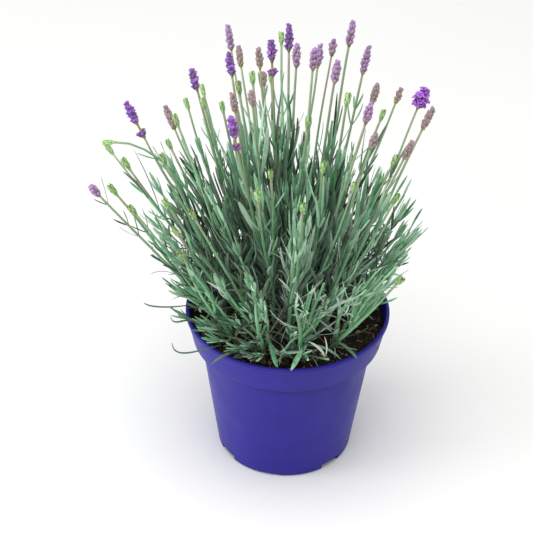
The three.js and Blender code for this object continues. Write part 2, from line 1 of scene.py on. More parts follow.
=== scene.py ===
import bisect
import functools
import itertools
import math
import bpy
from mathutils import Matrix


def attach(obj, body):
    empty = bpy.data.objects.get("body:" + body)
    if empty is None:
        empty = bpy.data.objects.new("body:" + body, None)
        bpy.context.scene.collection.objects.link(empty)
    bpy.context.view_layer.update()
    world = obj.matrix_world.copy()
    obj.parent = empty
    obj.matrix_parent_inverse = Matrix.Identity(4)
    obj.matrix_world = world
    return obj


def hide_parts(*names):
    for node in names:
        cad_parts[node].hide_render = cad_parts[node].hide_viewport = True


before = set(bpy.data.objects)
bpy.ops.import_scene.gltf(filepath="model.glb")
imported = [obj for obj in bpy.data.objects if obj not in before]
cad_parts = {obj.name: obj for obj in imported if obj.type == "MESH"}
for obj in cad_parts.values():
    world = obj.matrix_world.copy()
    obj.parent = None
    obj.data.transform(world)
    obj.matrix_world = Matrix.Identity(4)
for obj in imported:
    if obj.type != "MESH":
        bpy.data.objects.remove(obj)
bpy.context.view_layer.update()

from types import SimpleNamespace

import bpy
import numpy as np
from mathutils import Quaternion, Vector, noise

# The pot: one injection-moulded nursery pot of dyed polypropylene. A flared collar ends in a small lip,
# a ledge under it lets pots nest, and notches moulded in the foot let water out. Lengths here and below
# are in millimetres, and MM turns them into the metres that the pieces are made in.
MM = 0.001
POT_HEIGHT = 105
RIM_RADIUS = 65
BODY_RADIUS = 55.5
BASE_RADIUS = 43.8
COLLAR_INSIDE = 59.4
LEDGE = 84.5
LEDGE_TOP = 85.8
FLOOR_TOP = 1.8
WALL = 1.3
POT_SIDES = 180
POT_OUTLINE = [  # radius, height, and how far the corner is rounded
    (0, 0, 0),
    (BASE_RADIUS - 1.2, 0, 0.3),
    (BASE_RADIUS, 1.2, 0.5),
    (BODY_RADIUS, LEDGE, 0.5),
    (60.4, LEDGE, 0.6),
    (64.1, 101.6, 0.35),
    (RIM_RADIUS, 102.5, 0.35),
    (RIM_RADIUS, POT_HEIGHT, 0.7),
    (62.8, POT_HEIGHT, 0.5),
    (COLLAR_INSIDE, LEDGE_TOP, 0.6),
    (BODY_RADIUS - WALL, LEDGE_TOP, 0.6),
    (BASE_RADIUS - WALL, FLOOR_TOP, 0.8),
    (0, FLOOR_TOP, 0),
]
FOOT_CUTS = [  # height, degrees wide, inner radius, and the turns from the front at which they are
    (4.2, 20, 39.5, [-57, 45, 123, -135]),
    (1.6, 16, 41.6, [-12, 80, 168, -102]),
]


def rounded(corners, steps=4):
    """The outline with each corner eased by a short curve."""
    eased = []
    for i, (radius, height, cut) in enumerate(corners):
        corner = Vector((radius, height))
        if not cut:
            eased.append(corner)
            continue
        before = (Vector(corners[i - 1][:2]) - corner).normalized() * cut + corner
        after = (Vector(corners[i + 1][:2]) - corner).normalized() * cut + corner
        for step in range(steps + 1):
            t = step / steps
            eased.append(before.lerp(corner, t).lerp(corner.lerp(after, t), t))
    return eased


@functools.cache
def swept_faces(rings, sides):
    """Faces of a closed tube of rings of corners, with flat ends."""
    faces = [list(range(sides))[::-1]]
    for low in range(0, (rings - 1) * sides, sides):
        for i in range(sides):
            after = (i + 1) % sides
            faces.append([low + i, low + after, low + sides + after, low + sides + i])
    faces.append([(rings - 1) * sides + i for i in range(sides)])
    return faces


def turned(outline, sides):
    """Points and faces of the outline turned about the upright axis. Both its ends lie on the axis."""
    points = [(0, 0, outline[0].y)]
    for radius, height in outline[1:-1]:
        for i in range(sides):
            angle = 2 * math.pi * i / sides
            points.append((radius * math.cos(angle), radius * math.sin(angle), height))
    faces = [[corner + 1 for corner in face] for face in swept_faces(len(outline) - 2, sides)[1:-1]]
    end = len(points)
    points.append((0, 0, outline[-1].y))
    for i in range(sides):
        after = (i + 1) % sides
        faces += [[0, 1 + after, 1 + i], [end, end - sides + i, end - sides + after]]
    return points, faces


def add_piece(name, points, faces, materials):
    """A shown, smoothly shaded mesh object from points in millimetres."""
    mesh = bpy.data.meshes.new(name)
    mesh.from_pydata((np.asarray(points) * MM).tolist(), [], faces)
    mesh.shade_smooth()
    for material in materials:
        mesh.materials.append(material)
    piece = bpy.data.objects.new(name, mesh)
    bpy.context.scene.collection.objects.link(piece)
    return piece


def wedge(top, width, inner, turn):
    """Points and faces of a block of a ring round the foot, centred on a turn measured from the front."""
    outer = BASE_RADIUS + 6
    points = []
    for i in range(5):
        angle = math.radians(turn - 90 + width * (i / 4 - 0.5))
        for radius, height in ((inner, -1), (inner, top), (outer, top), (outer, -1)):
            points.append((radius * math.cos(angle), radius * math.sin(angle), height))
    return points, swept_faces(5, 4)


def cut_out(piece, cuts):
    """The piece's mesh without what the cuts take away."""
    cutters = []
    for number, (points, faces) in enumerate(cuts):
        cutter = add_piece(f"cutter_{number}", points, faces, [])
        cutters.append(cutter)
        trim = piece.modifiers.new(cutter.name, "BOOLEAN")
        trim.operation = "DIFFERENCE"
        trim.solver = "EXACT"
        trim.object = cutter
    bpy.context.view_layer.update()
    graph = bpy.context.evaluated_depsgraph_get()
    whole = bpy.data.meshes.new_from_object(piece.evaluated_get(graph))
    piece.modifiers.clear()
    piece.data = whole
    for cutter in cutters:
        bpy.data.objects.remove(cutter)


def srgb(red, green, blue):
    """A colour given as it looks on a screen, 0 to 255, as Blender's linear RGBA."""
    shares = [value / 255 for value in (red, green, blue)]
    linear = [v / 12.92 if v <= 0.04045 else ((v + 0.055) / 1.055) ** 2.4 for v in shares]
    return (*linear, 1.0)


class Paint:
    """A material with a Principled shader, and calls that add the nodes which feed it."""

    def __init__(self, name, roughness, specular=0.4):
        self.material = bpy.data.materials.new(name)
        self.material.use_nodes = True
        self.tree = self.material.node_tree
        self.shader = self.tree.nodes["Principled BSDF"]
        self.give("Roughness", roughness)
        self.give("Specular IOR Level", specular)

    def feed(self, socket, value):
        if isinstance(value, bpy.types.NodeSocket):
            self.tree.links.new(value, socket)
        else:
            socket.default_value = value

    def give(self, name, value):
        """Sets one of the shader's own sockets, or links it to an output."""
        self.feed(self.shader.inputs[name], value)

    def node(self, kind, inputs, **settings):
        """The outputs of a new node with its inputs set or linked."""
        made = self.tree.nodes.new(kind)
        for name, value in settings.items():
            setattr(made, name, value)
        for key, value in inputs.items():
            self.feed(made.inputs[key], value)
        return made.outputs

    def place(self):
        return self.node("ShaderNodeTexCoord", {})["Object"]

    def grain(self, scale, detail=3.0, roughness=0.55):
        """Grey noise over the piece's own place, with features of about one part in scale of a metre."""
        inputs = {"Vector": self.place(), "Scale": scale, "Detail": detail, "Roughness": roughness}
        return self.node("ShaderNodeTexNoise", inputs)["Fac"]

    def ramp(self, factor, *stops):
        """Colours by the factor. A stop is a place from 0 to 1 and the red, green and blue seen there."""
        colour = self.node("ShaderNodeValToRGB", {"Fac": factor})["Color"]
        elements = colour.node.color_ramp.elements
        while len(elements) < len(stops):
            elements.new(0.5)
        for element, (place, *shade) in zip(elements, stops):
            element.position = place
            element.color = srgb(*shade)
        return colour

    def graded(self, factor, low, high, start=0.0, end=1.0):
        """A number that goes from the start to the end while the factor goes from low to high."""
        inputs = {"Value": factor, "From Min": low, "From Max": high, "To Min": start, "To Max": end}
        return self.node("ShaderNodeMapRange", inputs)["Result"]

    def mixed(self, factor, first, second, how="MIX"):
        """Two colours mixed. 6, 7 and 2 are the node's own numbers for its colour sockets."""
        inputs = {0: factor, 6: first, 7: second}
        return self.node("ShaderNodeMix", inputs, data_type="RGBA", blend_type=how)[2]

    def worked(self, how, *values, clamp=False):
        """A sum, product or other working on numbers or outputs."""
        return self.node("ShaderNodeMath", dict(enumerate(values)), operation=how, use_clamp=clamp)[0]

    def times(self, first, second):
        return self.worked("MULTIPLY", first, second)

    def tinted(self, base, colour, factor, most):
        """The base with some of a colour over it, up to the most."""
        return self.mixed(self.times(factor, most), base, colour)

    def blotched(self, value, amount, *grain):
        """The value moved up and down by noise, within 0 to 1."""
        blotches = self.worked("MULTIPLY_ADD", self.grain(*grain), amount, -amount / 2)
        return self.worked("ADD", value, blotches, clamp=True)

    def height_share(self, low, high):
        """0 at one height and 1 at the other, by the place on the piece."""
        height = self.node("ShaderNodeSeparateXYZ", {"Vector": self.place()})["Z"]
        return self.graded(height, low * MM, high * MM)

    def finished(self, colour, relief, depth, strength=1.0):
        """The material, once it has its colour and a relief of noise, of a depth in millimetres."""
        self.give("Base Color", colour)
        inputs = {"Height": self.grain(*relief), "Distance": depth * MM, "Strength": strength}
        self.give("Normal", self.node("ShaderNodeBump", inputs)["Normal"])
        return self.material


def pot_plastic():
    """Violet blue all through, dusty on the collar, with painted shade under the ledge, and a little
    scuffed.
    """
    paint = Paint("violet_blue_pot_plastic", 0.45, 0.2)
    dye = paint.ramp(paint.grain(22, 2), (0.3, 38, 30, 130), (0.7, 43, 35, 140))
    smears = paint.times(paint.grain(95, 6, 0.7), paint.grain(31, 3))
    dust = paint.graded(paint.times(paint.height_share(84, 106), smears), 0.3, 0.52, 0, 0.16)
    dusty = paint.mixed(dust, dye, srgb(104, 96, 150))
    # Painted shade: a dark band just under the collar's ledge, where its shadow falls.
    ledge_shade = paint.times(paint.height_share(76.5, 81), paint.height_share(84.8, 84.2))
    ledge_shaded = paint.tinted(dusty, srgb(24, 18, 88), ledge_shade, 0.55)
    scuffs = paint.graded(paint.grain(240, 5, 0.8), 0.66, 0.78, 0, 0.1)
    paint.give("Roughness", paint.graded(paint.grain(60, 4), 0.3, 0.7, 0.4, 0.52))
    return paint.finished(paint.mixed(scuffs, ledge_shaded, srgb(78, 70, 164)), (1500, 2), 0.05, 0.5)


pot = add_piece("nursery_pot", *turned(rounded(POT_OUTLINE), POT_SIDES), [pot_plastic()])
cut_out(pot, [wedge(*cut, turn) for *cut, turns in FOOT_CUTS for turn in turns])
pot.data.set_sharp_from_angle(angle=math.radians(40))
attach(pot, "root")
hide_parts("pot")

# The potting soil: peat with composted bark, watered and settled into lumps a little under the rim.
# It fills the pot down to its floor. Its crumbs, chips of bark and grains of perlite lie loose on top.
SOIL_TOP = 96.4
SOIL_GAP = 0.35
SOIL_EDGE = 61.2
SOIL_SIDES = 220
SOIL_RINGS = 74
CRUMBS = 1500
FIBRES = 130
PERLITE = 34
PERLITE_SEED = 5000


def draw(a, b=0, c=0):
    """A draw between 0 and 1, always the same for the same numbers."""
    wave = math.sin(a * 12.9898 + b * 78.233 + c * 37.719) * 43758.5453
    return wave - math.floor(wave)


def between(low, high, *seed):
    return low + (high - low) * draw(*seed)


def soil_height(x, y):
    """The height of the lumpy top of the soil."""
    place = Vector((x, y, 0))
    heaps = noise.fractal(place * 0.05, 1.0, 2.0, 3)
    lumps = noise.fractal(place * 0.22 + Vector((7, 3, 1)), 0.9, 2.1, 4)
    grains = noise.noise(place * 0.9)
    return SOIL_TOP + 1.3 * heaps + 0.8 * lumps + 0.3 * grains


def soil_points():
    ledge = LEDGE_TOP + SOIL_GAP
    floor_gap = FLOOR_TOP + SOIL_GAP
    outline = [(SOIL_EDGE * ring / SOIL_RINGS, 0) for ring in range(SOIL_RINGS + 1)]
    outline += [
        (SOIL_EDGE + 0.3, SOIL_TOP - 3),
        (COLLAR_INSIDE - SOIL_GAP, ledge + 0.2),
        (BODY_RADIUS - WALL - SOIL_GAP, ledge),
        (BASE_RADIUS - WALL - SOIL_GAP, floor_gap),
        (0, floor_gap),
    ]
    points, faces = turned([Vector(corner) for corner in outline], SOIL_SIDES)
    for i in range(1 + SOIL_RINGS * SOIL_SIDES):
        x, y, _ = points[i]
        points[i] = (x, y, soil_height(x, y))
    return points, [face[::-1] for face in faces]


def peat():
    """Crumbly brown: blackish peat with rusty bark showing in it."""
    paint = Paint("dark_peat", 0.95, 0.2)
    coarse = paint.grain(330, 6, 0.75)
    browns = paint.ramp(coarse, (0.38, 19, 17, 14), (0.55, 48, 41, 33), (0.74, 100, 76, 54))
    fine = paint.graded(paint.grain(1500, 4, 0.7), 0.35, 0.7, 0.45, 1)
    return paint.finished(paint.mixed(0.85, browns, fine, "MULTIPLY"), (900, 6, 0.7), 0.7)


soil = add_piece("potting_soil", *soil_points(), [peat()])
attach(soil, "root")
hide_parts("soil")


class Draft:
    """The points, faces, marks and materials of one piece while it is being made."""

    def __init__(self):
        self.points = []
        self.faces = []
        self.marks = []
        self.slots = []
        self.count = 0

    def add(self, points, faces, marks, slot=0):
        """Marks are four numbers for each point, which the piece's materials read."""
        points = np.asarray(points, float)
        self.points.append(points)
        self.marks.append(np.broadcast_to(np.asarray(marks, float), (len(points), 4)))
        self.faces += [[corner + self.count for corner in face] for face in faces]
        self.slots += [slot] * len(faces)
        self.count += len(points)

    def piece(self, name, materials):
        made = add_piece(name, np.concatenate(self.points), self.faces, materials)
        marks = made.data.color_attributes.new("marks", "FLOAT_COLOR", "POINT")
        marks.data.foreach_set("color", np.concatenate(self.marks).ravel())
        made.data.polygons.foreach_set("material_index", self.slots)
        return made


def marks_of(paint):
    """The piece's four marks, as outputs."""
    marks = paint.node("ShaderNodeAttribute", {}, attribute_name="marks")
    parts = paint.node("ShaderNodeSeparateColor", {"Color": marks["Color"]})
    return parts["Red"], parts["Green"], parts["Blue"], marks["Alpha"]


def square_to(way, guide):
    """The part of the guide that is square to the way, at length 1."""
    flat = guide - way * np.dot(guide, way)
    return flat / np.linalg.norm(flat)


def any_square_to(way):
    return square_to(way, np.array((0.0, 1, 0)) if abs(way[2]) > 0.9 else np.array((0.0, 0, 1)))


def add_swept(draft, centres, section, marks, slot=0, top=None):
    """Rings of a section, (rings, corners, 2), set square to the path through the centres.

    Each of the four marks is a number, a row with one for each corner or a column with one for each ring."""
    ways = np.gradient(centres, axis=0)
    ways /= np.linalg.norm(ways, axis=1)[:, None]
    top = any_square_to(ways[0]) if top is None else top
    tops = []
    for way in ways:
        top = square_to(way, top)
        tops.append(top)
    across = np.cross(tops, ways)[:, None]
    tops = np.array(tops)[:, None]
    points = centres[:, None] + across * section[..., :1] + tops * section[..., 1:]
    size = section.shape[:2]
    marks = np.stack([np.broadcast_to(mark, size) for mark in marks], axis=2)
    draft.add(points.reshape(-1, 3), swept_faces(*size), marks.reshape(-1, 4), slot)


def tube(radii, sides, corner=1.0, offset=0.5):
    """Rings of the radii, with every second corner drawn in to its own share of the radius."""
    angles = (np.arange(sides) + offset) * 2 * math.pi / sides
    shares = np.where(np.arange(sides) % 2, corner, 1.0)
    ring = np.stack([shares * np.cos(angles), shares * np.sin(angles)], axis=1)
    return np.asarray(radii)[:, None, None] * ring


GOLDEN = (1 + math.sqrt(5)) / 2
LUMP_CORNERS = []
for one in (-1, 1):
    for two in (-GOLDEN, GOLDEN):
        LUMP_CORNERS += [(0, one, two), (one, two, 0), (two, 0, one)]
LUMP_CORNERS = [Vector(corner).normalized() for corner in LUMP_CORNERS]
LUMP_FACES = []
for corners in itertools.combinations(range(12), 3):
    a, b, c = (LUMP_CORNERS[i] for i in corners)
    if max((b - a).length, (c - b).length, (a - c).length) < 1.1:
        outwards = (b - a).cross(c - a).dot(a) > 0
        LUMP_FACES.append(corners if outwards else corners[::-1])


def add_crumb(draft, place, size, flat, long, seed):
    """A rough lump: a ball of 20 faces with each corner pushed in or out."""
    turn = Quaternion([draw(seed, i) - 0.5 for i in (1, 2, 3, 4)])
    turn.normalize()
    shape = []
    for i, corner in enumerate(LUMP_CORNERS):
        out = corner * size * between(0.75, 1.25, seed, i, 5)
        shape.append(turn @ Vector((out.x * long, out.y, out.z * flat)) + place)
    draft.add(shape, LUMP_FACES, (draw(seed, 6), 0, 0, 0))


def on_soil(seed, edge=60):
    """A place on the soil, drawn evenly over its top."""
    radius = edge * math.sqrt(draw(seed, 11))
    turn = 2 * math.pi * draw(seed, 12)
    x = radius * math.cos(turn)
    y = radius * math.sin(turn)
    return Vector((x, y, soil_height(x, y)))


def crumb_material(name, roughness, *stops):
    paint = Paint(name, roughness, 0.25)
    tone = paint.blotched(marks_of(paint)[0], 0.5, 1300, 4, 0.7)
    return paint.finished(paint.ramp(tone, *stops), (2200, 4), 0.3)


BARK = [(0.0, 20, 18, 15), (0.4, 42, 36, 29), (0.66, 86, 70, 53), (0.86, 140, 110, 80), (1.0, 178, 156, 124)]
crumbs = Draft()
for seed in range(CRUMBS):
    size = 0.55 + 1.5 * draw(seed, 21) ** 3
    add_crumb(crumbs, on_soil(seed), size, between(0.35, 0.9, seed, 22), between(1, 2.4, seed, 23), seed)
for seed in range(CRUMBS, CRUMBS + FIBRES):
    place = on_soil(seed, 56)
    turn = 2 * math.pi * draw(seed, 24)
    length = between(4, 11, seed, 25)
    path = []
    for i in range(6):
        turn += between(-0.5, 0.5, seed, i, 26)
        place = place + Vector((math.cos(turn), math.sin(turn), 0)) * length / 5
        path.append((place.x, place.y, soil_height(place.x, place.y) + 0.35 + 0.5 * math.sin(i * 0.6)))
    radius = between(0.16, 0.32, seed, 27)
    add_swept(crumbs, np.array(path), tube([radius] * 6, 5), (between(0.5, 1, seed, 28), 0, 0, 0))
crumb_piece = crumbs.piece("bark_and_peat_crumbs", [crumb_material("bark_crumbs", 0.9, *BARK)])
perlite = Draft()
for seed in range(PERLITE_SEED, PERLITE_SEED + PERLITE):
    add_crumb(perlite, on_soil(seed), between(0.5, 1.1, seed, 29), 0.8, 1.2, seed)
perlite_white = crumb_material("perlite", 0.85, (0.0, 176, 170, 160), (1.0, 232, 230, 224))
perlite_piece = perlite.piece("perlite_grains", [perlite_white])
for piece in (crumb_piece, perlite_piece):
    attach(piece, "root")
    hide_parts("soil")

# The leafy clumps: narrow felted leaves in opposite pairs on square stems, which fork low down from a
# woody foot. The stems fan out from a point under the soil, so each clump fills its own part of the
# bush. Long bare stalks rise out of it to the flower spikes, and to green buds that are part of them.
UP = Vector((0, 0, 1))
CROWN = Vector((0, 0, 97))
APEX_DEPTH = 58
APEX = CROWN - UP * APEX_DEPTH
CLUMP_RINGS = [(1, 0, 0), (5, 12.5, 20), (8, 24, 4), (12, 36, 11)]  # count, lean, first turn
CLUMP_GAP = 0.35
UPTURN = 0.3
SPIKE_RADII = {"violet": 3.75, "open": 5.85, "mauve": 3.3, "faded": 2.95}  # with the spread florets
SPIKES = {  # middle, length, and how far below it a lone whorl sits
    "violet": [
        ((-40, 62, 245), 14.5, 0), ((-61, 40, 246), 13.5, 0), ((-97, 12, 237), 14.5, 10.5),
        ((-34, -40, 260), 15.5, 10.5), ((-14, 30, 272), 13, 10), ((-4, 78, 256), 16, 0),
    ],
    "open": [((72, 34, 243), 12, 0)],
    "mauve": [
        ((-42, 96, 246), 16, 0), ((1, 50, 259), 14.5, 0), ((11, 18, 274), 13.5, 0),
        ((16, 104, 230), 14.5, 0), ((24, 82, 248), 10, 0), ((33, 66, 267), 16, 0),
        ((27, 0, 276), 14.5, 0), ((45, 86, 238), 18, 0), ((44, -14, 258), 13.5, 0),
        ((-118, -14, 198), 8.5, 0),
    ],
    "faded": [
        ((-36, 112, 224), 13, 0), ((-78, 60, 207), 15.5, 0), ((-35, -6, 257), 12, 0),
        ((-22, 60, 251), 12, 0), ((-20, 110, 209), 8.5, 0), ((-24, -20, 268), 10, 0),
        ((49, 30, 245), 13, 0), ((46, -42, 255), 12, 0), ((67, 78, 217), 9.5, 0),
        ((79, -6, 250), 15.5, 0), ((68, -24, 240), 13, 0),
    ],
}
YOUNG_SPIKE = 9  # a shorter spike than this has leaves close under it
BUD_LENGTH = 10
BUD_GIRTH = 1.9
BUDS = [
    (-59, 90, 211), (-54, 14, 245), (-69, 84, 204), (-69, -6, 244), (-43, 20, 239), (-25, 20, 259),
    (-15, 90, 222), (-9, 104, 242), (32, 14, 249), (56, 56, 216), (61, -10, 223), (62, -30, 209),
    (65, -66, 175), (-12, -44, 232), (18, -40, 235), (7, -60, 220), (-19, -58, 226), (36, -52, 231),
    (9, -4, 243), (-78, 34, 203), (-76, -20, 226), (-115, 40, 195), (-104, 4, 217), (-99, -10, 215),
    (-105, -30, 209), (-92, -44, 204), (-73, -34, 203), (-56, -60, 213), (-66, -56, 198),
    (-62, -68, 190), (-33, 40, 241),
]
NODDING_BUD = (-104, 4, 217)  # this one hangs over on an arched stalk
BUSH = {"top": 127, "foot": 70, "top_lean": 36, "foot_lean": 84, "lopsided": 0.09}
LOW_STEMS = [(50, 8, 0.88), (60, -9, 0.88), (70, 3, 0.86)]  # lean, swing and share of the bush's reach
OPEN_SIDE = {"turn": -22, "width": 60}  # where the soil shows, and there is only the first low stem
FEWEST_STEMS = 2
SIDE_SHOOTS = 5
TIP_LEAVES = 15  # how far the last leaves reach past the end of their stem
STUB = {"below": 11, "radius": 1.7, "crown": 60, "top": 1.1}  # the woody foot of a clump's main stem
STEM = {"foot": 1.0, "top": 0.72}
STEM_ENDS = {  # how far the stem runs on into what it ends in, and how far down from there it is rosy
    "socket": (2.4, 64),
    "bud": (1.5, 24),
    "leaf": (4, 0),
}
LEAFY_REACH = 118
RIM_CLEARANCE = 5.5


def clamped(value):
    return min(1, max(0, value))


def leaning(lean, turn):
    """The direction that leans from upright by one angle, towards the turn measured from +X."""
    flat = math.sin(math.radians(lean))
    x = flat * math.cos(math.radians(turn))
    y = flat * math.sin(math.radians(turn))
    return Vector((x, y, math.cos(math.radians(lean))))


clumps = []
for ring, (count, lean, turn) in enumerate(CLUMP_RINGS):
    for i in range(count):
        way = leaning(lean, turn + 360 / count * i)
        clump = SimpleNamespace(ring=ring, way=way, lean=lean, number=len(clumps) + 1, stems=[], spikes=[])
        clump.foot = APEX + way * (APEX_DEPTH / way.z)
        clump.buried = STUB["below"] / way.z
        clump.bearing = math.degrees(math.atan2(way.y, way.x))
        clump.outer = ring == len(CLUMP_RINGS) - 1
        clump.open = abs((clump.bearing - OPEN_SIDE["turn"] + 180) % 360 - 180) < OPEN_SIDE["width"] / 2
        clumps.append(clump)
for clump in clumps:
    clump.walls = [(clump.way - other.way).normalized() for other in clumps if other is not clump]


def settled(clump, point, margin):
    """The point, moved square to each side of the clump's own part of the bush that it is too close to."""
    place = point.copy()
    for _ in range(12):
        for wall in clump.walls:
            short = margin - (place - APEX).dot(wall)
            if short > 0:
                place += wall * (short + 0.01)
    return place


def clump_at(point):
    return max(clumps, key=lambda clump: (point - APEX).dot(clump.way))


def poise(point):
    """A stalk's head follows the line from the crown, turned up a little."""
    return (point - CROWN).normalized().lerp(UP, UPTURN).normalized()


def head_span(clump, middle, length, girth):
    """The foot of a head, its tip and its direction, all inside its clump's part of the bush."""
    way = poise(middle)
    margin = girth + CLUMP_GAP
    foot = settled(clump, middle - way * length / 2, margin)
    tip = settled(clump, middle + way * length / 2, margin)
    return foot, tip, (tip - foot).normalized()


def bush_reach(point):
    """How far the leaves reach from the crown in the direction of a point: least to the right."""
    way = (point - CROWN).normalized()
    lean = math.degrees(way.angle(UP))
    share = clamped((lean - BUSH["top_lean"]) / (BUSH["foot_lean"] - BUSH["top_lean"]))
    share = share * share * (3 - 2 * share)
    dome = BUSH["top"] + share * (BUSH["foot"] - BUSH["top"])
    return dome * (1 - BUSH["lopsided"] * (math.sin(math.radians(lean)) + way.x))


def shoot_to(end, way, ends="leaf", low=False, basal=False, young=False, pull=0.68):
    """A stem that is still to be grown: where it ends, in which direction and in what."""
    return SimpleNamespace(end=end, way=way, ends=ends, low=low, basal=basal, young=young, pull=pull)


def add_leafy_stem(clump, lean, turn, share, low=False):
    way = leaning(lean, turn)
    end = CROWN + way * (bush_reach(CROWN + way) * share - TIP_LEAVES)
    end.z = max(end.z, POT_HEIGHT + RIM_CLEARANCE)
    end = settled(clump, end, 4)
    clump.stems.append(shoot_to(end, poise(end), low=low))


for kind, places in SPIKES.items():
    for middle, length, below in places:
        middle = Vector(middle)
        clump = clump_at(middle)
        centre = middle - poise(middle) * below / 2
        foot, _, way = head_span(clump, centre, length + below, SPIKE_RADII[kind])
        clump.spikes.append(SimpleNamespace(foot=foot, way=way, length=length, kind=kind, below=below))
        clump.stems.append(shoot_to(foot, way, "socket", young=length < YOUNG_SPIKE))
for middle in BUDS:
    clump = clump_at(Vector(middle))
    foot, tip, way = head_span(clump, Vector(middle), BUD_LENGTH, BUD_GIRTH)
    if middle == NODDING_BUD:
        shoot = shoot_to(tip, Vector((-0.86, 0.1, -0.12)).normalized(), "bud", pull=0.3)
    else:
        shoot = shoot_to(foot, way, "bud")
    clump.stems.append(shoot)
for clump in clumps:
    number, bearing = clump.number, clump.bearing
    for i in range(len(clump.stems), FEWEST_STEMS):
        swing = 30 * draw(number, i, 1) - 15
        add_leafy_stem(clump, clump.lean * 1.15, bearing + swing, 0.86 + 0.14 * draw(number, i, 2))
    low_stems = LOW_STEMS[:1] if clump.open else LOW_STEMS
    for i, (lean, swing, share) in enumerate(low_stems if clump.outer else []):
        tilt = 6 * draw(number, i, 4) - 3
        edge = share + 0.14 * draw(number, i, 5)
        add_leafy_stem(clump, lean + tilt, bearing + swing, edge, low=True)


class Path:
    """A curve from one point to another, which runs on straight past its end."""

    def __init__(self, start, bend, end, way, seed, steps=40):
        self.places = []
        around = 2 * math.pi * draw(seed, 46)
        waves = between(3, 8, seed, 47)
        sway = Vector((math.cos(around), math.sin(around), 0)) * (end - start).length * 0.014
        for i in range(steps + 1):
            t = i / steps
            place = start.lerp(bend, t).lerp(bend.lerp(end, t), t)
            self.places.append(place + sway * math.sin(math.pi * t) * math.sin(waves * t))
        self.lengths = [0]
        for before, after in zip(self.places, self.places[1:]):
            self.lengths.append(self.lengths[-1] + (after - before).length)
        self.length = self.lengths[-1]
        self.way = way

    def at(self, distance):
        """The place, and the direction there."""
        if distance >= self.length:
            return self.places[-1] + self.way * (distance - self.length), self.way
        i = min(max(bisect.bisect(self.lengths, distance), 1), len(self.lengths) - 1)
        share = (distance - self.lengths[i - 1]) / (self.lengths[i] - self.lengths[i - 1])
        before = self.places[max(i - 2, 0)]
        after = self.places[min(i + 1, len(self.places) - 1)]
        return self.places[i - 1].lerp(self.places[i], share), (after - before).normalized()


def grow_from(clump, shoot, height, seed):
    """The shoot's path, forking from the clump's main stem at a height above the soil."""
    fork, _ = clump.main.path.at(clump.buried + height)
    bend = settled(clump, shoot.end - shoot.way * (fork - shoot.end).length * shoot.pull, 1.6)
    shoot.path = Path(fork, bend, shoot.end, shoot.way, clump.number * 40 + seed)


def add_side_shoot(clump, end, margin, height, seed, basal=False):
    """A leafy shoot among the clump's stems, or one at its foot."""
    end = settled(clump, end, margin)
    shoot = shoot_to(end, poise(end), low=basal, basal=basal)
    grow_from(clump, shoot, height, seed)
    clump.stems.insert(0, shoot)


def straightness(clump, shoot):
    return -1 if shoot.low else (shoot.end - clump.foot).normalized().dot(clump.way)


for clump in clumps:
    number, bearing = clump.number, clump.bearing
    clump.stems.sort(key=lambda shoot: straightness(clump, shoot))
    clump.main = clump.stems[-1]
    start = clump.foot - clump.way * clump.buried
    bend = clump.foot + clump.way * 0.4 * (clump.main.end - clump.foot).length
    clump.main.path = Path(start, bend, clump.main.end, clump.main.way, number)
    for i, shoot in enumerate(clump.stems[:-1]):
        grow_from(clump, shoot, 5 + 6 * i, i)
    for i in range(SIDE_SHOOTS):
        lean = clump.lean + between(-7, 9, number, i, 31)
        way = leaning(lean, bearing + between(-20, 20, number, i, 32))
        share = between(0.62, 0.95 + 0.07 * clump.ring, number, i, 33)
        end = CROWN + way * (bush_reach(CROWN + way) * share - TIP_LEAVES)
        add_side_shoot(clump, end, 3, between(4, 40, number, i, 34), 20 + i)
    for i in range(SIDE_SHOOTS if clump.outer and not clump.open else 0):
        way = leaning(between(25, 72, number, i, 35), bearing + between(-60, 60, number, i, 36))
        end = clump.foot + way * between(12, 30, number, i, 37)
        add_side_shoot(clump, end, 2, between(2, 12, number, i, 38), 30 + i, basal=True)

LEAF_SECTION = np.array([  # across and up, from one rolled edge over the grooved top and back below
    (1.0, -0.34), (0.62, 0.2), (0, -0.04), (-0.62, 0.2),
    (-1.0, -0.34), (-0.6, -0.5), (0, -0.66), (0.6, -0.5),
])
LEAF_EDGE = np.array([0.8, 0.25, 0.0, 0.25, 0.8, 1.0, 1.0, 1.0])
LEAF_STEPS = np.array([0, 0.1, 0.26, 0.46, 0.66, 0.84, 0.95, 1.0])
LEAF_WIDTHS = np.array([0.42, 0.6, 0.86, 1.0, 0.97, 0.74, 0.42, 0.08])
LEAF_LENGTH = 42
SHORTEST_LEAF = 8
LEAF_THICKNESS = 0.5
LEAF, STALK, BUD = 0, 1, 2


def vec(vector):
    return np.array(vector, float)


def on_stem(shoot, distance):
    """The place on a stem and the direction there, as arrays."""
    place, way = shoot.path.at(distance)
    return vec(place), vec(way)


def sideways(way, turn):
    """The direction square to a way, at a turn about it."""
    side = any_square_to(way)
    return side * math.cos(turn) + np.cross(way, side) * math.sin(turn)


def blade_line(root, leave, end, length, droop):
    """The middle of a blade, which leaves its root one way and comes round to another."""
    ways = leave + (end - leave) * LEAF_STEPS[:, None]
    ways[:, 2] -= droop * LEAF_STEPS**2
    ways /= np.linalg.norm(ways, axis=1)[:, None]
    steps = np.diff(LEAF_STEPS)[:, None] * (ways[1:] + ways[:-1]) / 2 * length
    return root + np.concatenate([np.zeros((1, 3)), np.cumsum(steps, axis=0)])


def leaf_section(half, flat):
    """The leaf's section for each half width and thickness of two columns."""
    return LEAF_SECTION[:, 0] * half, LEAF_SECTION[:, 1] * flat


